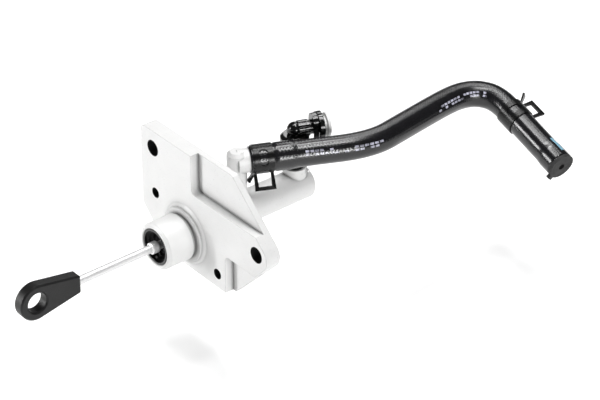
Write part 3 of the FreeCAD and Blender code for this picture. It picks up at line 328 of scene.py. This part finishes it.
def hose_rubber():
    """Black rubber with the braid's diamonds faintly showing, printed marks and a paint mark."""
    material, tree, shader, coords = new_material("black_rubber", specular=0.6)
    lay = node(tree, "Attribute", attribute_name="lay").outputs["Vector"]
    parts = node(tree, "SeparateXYZ", {"Vector": lay})
    along, around = parts.outputs["X"], parts.outputs["Y"]
    spin = maths(tree, "MULTIPLY", around, BRAID_STRANDS)
    climb = maths(tree, "MULTIPLY", along, 2 * math.pi / BRAID_PITCH)
    one = maths(tree, "SINE", maths(tree, "ADD", climb, spin))
    two = maths(tree, "SINE", maths(tree, "SUBTRACT", climb, spin))
    braid = maths(tree, "MAXIMUM", maths(tree, "ABSOLUTE", one), maths(tree, "ABSOLUTE", two))
    patches = noise(tree, coords, 260, 4)
    fine = noise(tree, coords, 2200, 2)
    height = maths(tree, "ADD", maths(tree, "MULTIPLY", braid, 0.6), patches)
    shows = maths(tree, "SUBTRACT", 1.0, maths(tree, "GREATER_THAN", along, BRAID_SHOWS_TO))
    normal = bump(tree, maths(tree, "MULTIPLY", height, shows), 0.00012, 0.8)
    normal = bump(tree, fine, 0.00001, 0.5, normal)
    base = blend_colours(tree, patches, (0.003, 0.003, 0.0035), (0.008, 0.008, 0.01))
    marks = printed_marks(tree, along, around, patches)
    base = blend_colours(tree, marks, base, (0.62, 0.62, 0.74))
    start, end, low, high = PAINT_MARK
    mark = maths(
        tree,
        "MULTIPLY",
        within(tree, along, start, end),
        within(tree, around, math.radians(low), math.radians(high)),
    )
    base = blend_colours(tree, mark, base, (0.26, 0.5, 0.64))
    plug_in(tree, shader, colour=base, roughness=spread(tree, patches, 0.16, 0.27), normal=normal)
    return material


def route_points(route):
    """A NURBS curve through the given route, and the points of its smooth line."""
    data = bpy.data.curves.new("hose_route", "CURVE")
    data.dimensions = "3D"
    data.resolution_u = 24
    spline = data.splines.new("NURBS")
    spline.points.add(len(route) - 1)
    for point, place in zip(spline.points, route):
        point.co = (*place, 1)
    spline.order_u = 3
    spline.use_endpoint_u = True
    curve = bpy.data.objects.new("hose_route", data)
    bpy.context.scene.collection.objects.link(curve)
    line = bpy.data.meshes.new_from_object(curve)
    points = [v.co.copy() for v in line.vertices]
    bpy.data.objects.remove(curve)
    bpy.data.meshes.remove(line)
    return points


def evenly(points, step):
    """Points a step apart along a line of points, and how far along each is."""
    lengths = [0.0]
    for a, b in zip(points, points[1:]):
        lengths.append(lengths[-1] + (b - a).length)
    count = round(lengths[-1] / step)
    places, stations, i = [], [], 0
    for k in range(count + 1):
        station = lengths[-1] * k / count
        while i < len(points) - 2 and lengths[i + 1] < station:
            i += 1
        share = (station - lengths[i]) / max(lengths[i + 1] - lengths[i], 1e-9)
        places.append(points[i].lerp(points[i + 1], min(share, 1)))
        stations.append(station)
    return places, stations


def carried_frames(places):
    """Two directions across a line at each of its points, carried along without twist."""
    directions = []
    for i in range(len(places)):
        before, after = places[max(i - 1, 0)], places[min(i + 1, len(places) - 1)]
        directions.append((after - before).normalized())
    up = Vector((0, 0, 1))
    frames = []
    for direction in directions:
        up = (up - direction * up.dot(direction)).normalized()
        frames.append((up.copy(), direction.cross(up)))
    return frames


def tube(name, places, stations, radius_at, sides):
    """A closed tube along places. Its attribute lay holds each corner's way along and turn."""
    frames = carried_frames(places)
    verts, faces, lays = [], [], []
    for place, station, (up, side) in zip(places, stations, frames):
        radius = radius_at(station)
        for k in range(sides):
            turn = 2 * math.pi * k / sides
            verts.append(place + (up * math.cos(turn) + side * math.sin(turn)) * radius)
    for i in range(len(places) - 1):
        for k in range(sides):
            following = (k + 1) % sides
            faces.append(
                (i * sides + k, (i + 1) * sides + k, (i + 1) * sides + following, i * sides + following)
            )
            for ring, turn in ((i, k), (i + 1, k), (i + 1, k + 1), (i, k + 1)):
                lays.append((stations[ring], 2 * math.pi * turn / sides, 0))
    last = (len(places) - 1) * sides
    faces.append(tuple(range(sides)))
    faces.append(tuple(last + k for k in reversed(range(sides))))
    lays += [(stations[0], 0, 0)] * sides + [(stations[-1], 0, 0)] * sides
    mesh = bpy.data.meshes.new(name)
    mesh.from_pydata(verts, [], faces)
    layer = mesh.attributes.new("lay", "FLOAT_VECTOR", "CORNER")
    for item, value in zip(layer.data, lays):
        item.vector = value
    mesh.polygons.foreach_set("use_smooth", [len(f) == 4 for f in faces])
    mesh.update()
    made = bpy.data.objects.new(name, mesh)
    bpy.context.scene.collection.objects.link(made)
    return made


def ramp(value, low, high):
    """0 below low, 1 above high, smooth between."""
    share = min(max((value - low) / (high - low), 0), 1)
    return share * share * (3 - 2 * share)


def hose_radius(station):
    """The hose's outside radius: it bulges behind the near clamp and round the plug."""
    near = ramp(station, *NEAR_SWELL_RISE) * (1 - ramp(station, *NEAR_SWELL_FALL))
    start, full = END_SWELL_RISE
    end = ramp(station, HOSE_LENGTH - start, HOSE_LENGTH - full)
    return HOSE_RADIUS + NEAR_SWELL * near + END_SWELL * end


def add_clamp(name, places):
    """A spring clamp like its CAD node, with its tangs as thick as their rolled edges."""
    form = bmesh.new()
    form.from_mesh(nodes[name].data)
    bmesh.ops.remove_doubles(form, verts=form.verts, dist=1e-6)
    form.normal_update()
    for vertex, normal in [(v, v.normal.copy()) for v in form.verts]:
        reach = min((vertex.co - place).length for place in places)
        vertex.co += normal * CLAMP_ROLL * ramp(reach, CLAMP_REACH, CLAMP_REACH + 0.001)
    mesh = bpy.data.meshes.new(name + "_spring")
    form.to_mesh(mesh)
    form.free()
    mesh.polygons.foreach_set("use_smooth", [True] * len(mesh.polygons))
    mesh.set_sharp_from_angle(angle=math.radians(30))
    clamp = bpy.data.objects.new(name + "_spring", mesh)
    bpy.context.scene.collection.objects.link(clamp)
    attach(clamp, "cylinder")
    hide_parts(name)
    return clamp


def add_hose():
    route = [Vector(place) * MM for place in HOSE_ROUTE_MM]
    places, stations = evenly(route_points(route), RING_STEP)
    clamps = [add_clamp(name, places) for name in ("near_hose_clamp", "far_hose_clamp")]
    hose = tube("hose", places, stations, hose_radius, HOSE_SIDES)
    hose.data.materials.append(hose_rubber())
    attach(hose, "cylinder")
    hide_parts("reservoir_hose")
    return clamps


def finish_nodes(clamps):
    """The carried-over CAD nodes get their real finishes."""
    steel = worn_material(
        "bright_steel", ((0.78, 0.78, 0.78), (0.87, 0.87, 0.87)), (0.3, 0.44), (1800, 0.00001), metallic=0.5
    )
    band = worn_material(
        "dark_spring_steel",
        ((0.002, 0.002, 0.002), (0.007, 0.007, 0.007)),
        (0.2, 0.34),
        (1500, 0.00001),
        specular=0.3,
    )
    plastic = worn_material(
        "black_plastic",
        ((0.003, 0.003, 0.003), (0.012, 0.012, 0.012)),
        (0.32, 0.5),
        (1300, 0.00007),
        specular=0.33,
    )
    glossy = worn_material(
        "glossy_plastic",
        ((0.002, 0.002, 0.002), (0.005, 0.005, 0.005)),
        (0.1, 0.2),
        (500, 0.00002),
        specular=0.6,
    )
    white = worn_material(
        "white_plastic", ((0.86, 0.86, 0.86), (0.92, 0.92, 0.91)), (0.4, 0.55), (700, 0.00003)
    )
    grey = worn_material(
        "grey_plastic",
        ((0.012, 0.012, 0.012), (0.06, 0.06, 0.06)),
        (0.45, 0.7),
        (420, 0.00012),
        specular=0.2,
    )
    rubber = worn_material(
        "seal_rubber", ((0.01, 0.01, 0.01), (0.02, 0.02, 0.02)), (0.5, 0.7), (1200, 0.00003)
    )
    alloy = worn_material(
        "piston_alloy", ((0.62, 0.62, 0.64), (0.75, 0.75, 0.77)), (0.2, 0.35), (1500, 0.00001), metallic=1
    )
    finishes = {
        "cast_aluminium": aluminium(),
        "bright_steel": steel,
        "dark_spring_steel": band,
        "black_plastic": plastic,
        "white_plastic": white,
        "grey_plastic": grey,
        "black_rubber": rubber,
        "piston_alloy": alloy,
    }
    shiny = {"outlet_elbow", "outlet_clip", "rod_guide"}
    for part in frame["record"]["subparts"]:
        name = part["node"]
        mesh = nodes[name].data
        mesh.materials.clear()
        mesh.materials.append(glossy if name in shiny else finishes[part["material_slot"]])
    for clamp in clamps:
        clamp.data.materials.clear()
        clamp.data.materials.append(band)


def background_seen(tree):
    """1 for camera, glossy and transmission rays."""
    rays = node(tree, "LightPath").outputs
    seen = maths(tree, "MAXIMUM", rays["Is Camera Ray"], rays["Is Glossy Ray"])
    return maths(tree, "MAXIMUM", seen, rays["Is Transmission Ray"])


def add_floor():
    reach = 6
    mesh = bpy.data.meshes.new("floor")
    height = cad_low.z - FLOOR_DROP
    corners = [(-reach, -reach), (reach, -reach), (reach, reach), (-reach, reach)]
    mesh.from_pydata([(x, y, height) for x, y in corners], [], [(0, 1, 2, 3)])
    floor = bpy.data.objects.new("floor", mesh)
    bpy.context.scene.collection.objects.link(floor)
    material, tree, shader, _ = new_material("floor", specular=0.0)
    shader.inputs["Base Color"].default_value = (0.83, 0.83, 0.83, 1)
    shader.inputs["Roughness"].default_value = 1
    shader.inputs["Emission Color"].default_value = (1, 1, 1, 1)
    glow = spread(tree, background_seen(tree), 0.0, 0.45)
    tree.links.new(glow, shader.inputs["Emission Strength"])
    mesh.materials.append(material)


def softbox(name, azimuth, elevation, distance, size, power, lengthwise):
    """A strip lamp that faces the object's middle. Its length runs near a given direction."""
    a, e = math.radians(azimuth), math.radians(elevation)
    away = Vector((math.sin(a) * math.cos(e), -math.cos(a) * math.cos(e), math.sin(e)))
    data = bpy.data.lights.new(name, "AREA")
    data.shape = "RECTANGLE"
    data.size, data.size_y = size
    data.energy = power
    lamp = bpy.data.objects.new(name, data)
    lamp.location = (cad_low + cad_high) / 2 + away * distance
    long_side = Vector(lengthwise)
    long_side = (long_side - away * long_side.dot(away)).normalized()
    axes = Matrix((long_side, away.cross(long_side), away)).transposed()
    lamp.rotation_mode = "QUATERNION"
    lamp.rotation_quaternion = axes.to_quaternion()
    bpy.context.scene.collection.objects.link(lamp)


def add_light():
    """A soft studio: strips overhead, behind, at the side and in front, each across the run of hose
    that it lights."""
    world = bpy.data.worlds.new("studio")
    bpy.context.scene.world = world
    world.use_nodes = True
    background = world.node_tree.nodes["Background"]
    background.inputs["Color"].default_value = (1, 1, 1, 1)
    background.inputs["Strength"].default_value = 0.1
    softbox("overhead_near", 45, 76, 1.2, (0.46, 0.14), 5.3, (0.43, 0.88, 0))
    softbox("overhead_end", 147, 74, 1.2, (0.8, 0.14), 6.8, (-0.86, 0, 0.13))
    softbox("back", 126, 44, 1.3, (0.9, 0.16), 2.6, (-0.1, 0.88, -0.47))
    softbox("side", -122, 10, 1.3, (0.9, 0.14), 11, (0.17, -0.25, 0.82))
    softbox("front", -10, 9, 1.4, (0.42, 0.26), 8.5, (0.06, 0.13, 0.97))


add_camera()
finish_nodes(add_hose())
add_floor()
add_light()
bpy.context.scene.view_settings.view_transform = "Standard"
